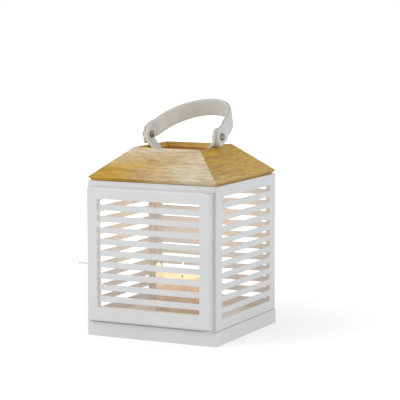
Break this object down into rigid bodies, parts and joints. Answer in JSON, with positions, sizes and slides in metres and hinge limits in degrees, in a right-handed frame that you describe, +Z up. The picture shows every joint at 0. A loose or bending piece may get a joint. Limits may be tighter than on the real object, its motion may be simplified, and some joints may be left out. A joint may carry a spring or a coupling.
{
  "type": "candle lantern",
  "caption": "Square slotted sheet-metal candle lantern with a hinged louvred door, an open-topped wooden hip roof, a swinging leather strap handle and a pillar candle.",
  "frame": {"origin": "centre of the underside of the plinth, on the ground", "axes": "+Z up, -Y towards the front (the door), +X towards the hinge side of the door, -X towards its pull pin"},
  "size_m": [0.2152, 0.216, 0.33],
  "materials": {
    "white_paint": "satin white powder coat",
    "roof_wood": "oiled hardwood board",
    "block_wood": "raw sawn wood",
    "bare_steel": "zinc-plated",
    "chrome": "polished",
    "white_leather": "smooth finished leather, stitched",
    "wax": "translucent wax",
    "wick": "charred cotton"
  },
  "bodies": {
    "lantern": {"base_tray": "white_paint", "base_plate": "white_paint", "floor_pan": "white_paint", "wall_left": "white_paint", "wall_right": "white_paint", "wall_back": "white_paint", "front_post_left": "white_paint", "front_post_right": "white_paint", "rear_post_left": "white_paint", "rear_post_right": "white_paint", "front_sill": "white_paint", "front_header": "white_paint", "top_rail_front": "white_paint", "top_rail_back": "white_paint", "top_rail_left": "white_paint", "top_rail_right": "white_paint", "hinge_tab_lower": "white_paint", "hinge_tab_upper": "white_paint", "catch_clip": "white_paint", "roof_board_front": "roof_wood", "roof_board_right": "roof_wood", "roof_board_back": "roof_wood", "roof_board_left": "roof_wood", "corner_block_right_back": "block_wood", "corner_block_left_back": "block_wood", "corner_block_left_front": "block_wood", "corner_block_right_front": "block_wood", "roof_screws": "bare_steel", "tab_screws": "bare_steel", "floor_screws": "bare_steel", "hinge_pin_lower": "bare_steel", "hinge_pin_upper": "bare_steel", "catch_magnet": "bare_steel", "handle_barrels": "chrome", "handle_studs": "chrome", "handle_tab_left": "white_leather", "handle_tab_right": "white_leather"},
    "door": {"door_rail_bottom": "white_paint", "door_rail_top": "white_paint", "door_stile_left": "white_paint", "door_stile_right": "white_paint", "pull_pin": "white_paint", "hinge_socket_lower": "bare_steel", "hinge_socket_upper": "bare_steel", "door_slat_1": "white_paint", "door_slat_2": "white_paint", "door_slat_3": "white_paint", "door_slat_4": "white_paint", "door_slat_5": "white_paint", "door_slat_6": "white_paint", "door_slat_7": "white_paint", "door_slat_8": "white_paint", "door_slat_9": "white_paint"},
    "handle": {"handle_strap": "white_leather", "handle_lining": "white_leather"},
    "candle": {"candle_wax": "wax", "candle_wick": "wick"}
  },
  "joints": [
    {"name": "door_hinge", "type": "hinge", "parent": "lantern", "child": "door", "pos_m": [0.0925, -0.106, 0.118], "axis": [0, 0, 1], "range_deg": [0, 175]},
    {"name": "handle_pivot", "type": "hinge", "parent": "lantern", "child": "handle", "pos_m": [0, 0, 0.28], "axis": [1, 0, 0], "range_deg": [-20, 158]},
    {"name": "candle_lift", "type": "slide", "parent": "lantern", "child": "candle", "axis": [0, 0, 1], "range_m": [0, 0.12]}
  ]
}
